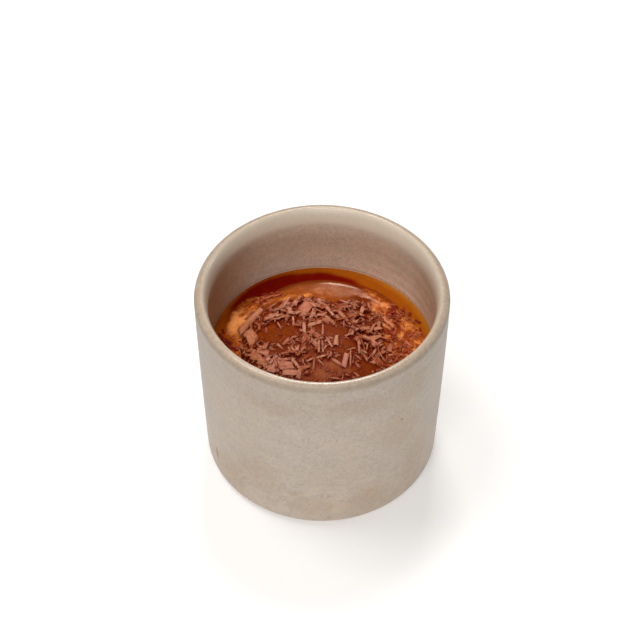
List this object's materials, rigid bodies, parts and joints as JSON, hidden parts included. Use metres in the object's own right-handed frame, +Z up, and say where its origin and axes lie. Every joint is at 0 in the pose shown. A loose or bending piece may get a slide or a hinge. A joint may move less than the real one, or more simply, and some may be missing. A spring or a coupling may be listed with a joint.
{
  "type": "affogato",
  "caption": "Affogato in a handleless stoneware cup: espresso with crema round a coffee-coated scoop of ice cream, strewn with chocolate shavings.",
  "frame": {"origin": "centre of the cup's flat base", "axes": "+Z up along the cup's axis, -Y towards the front, +X to the right seen from the front"},
  "size_m": [0.082, 0.082, 0.0727],
  "materials": {
    "stoneware": "satin oatmeal glaze with fine iron specks",
    "espresso_crema": "wet espresso with orange-brown crema",
    "coated_ice_cream": "wet coffee-coated ice cream with dull milk chocolate shavings"
  },
  "bodies": {
    "root": {"cup": "stoneware", "coffee": "espresso_crema", "ice_cream": "coated_ice_cream"}
  },
  "joints": []
}
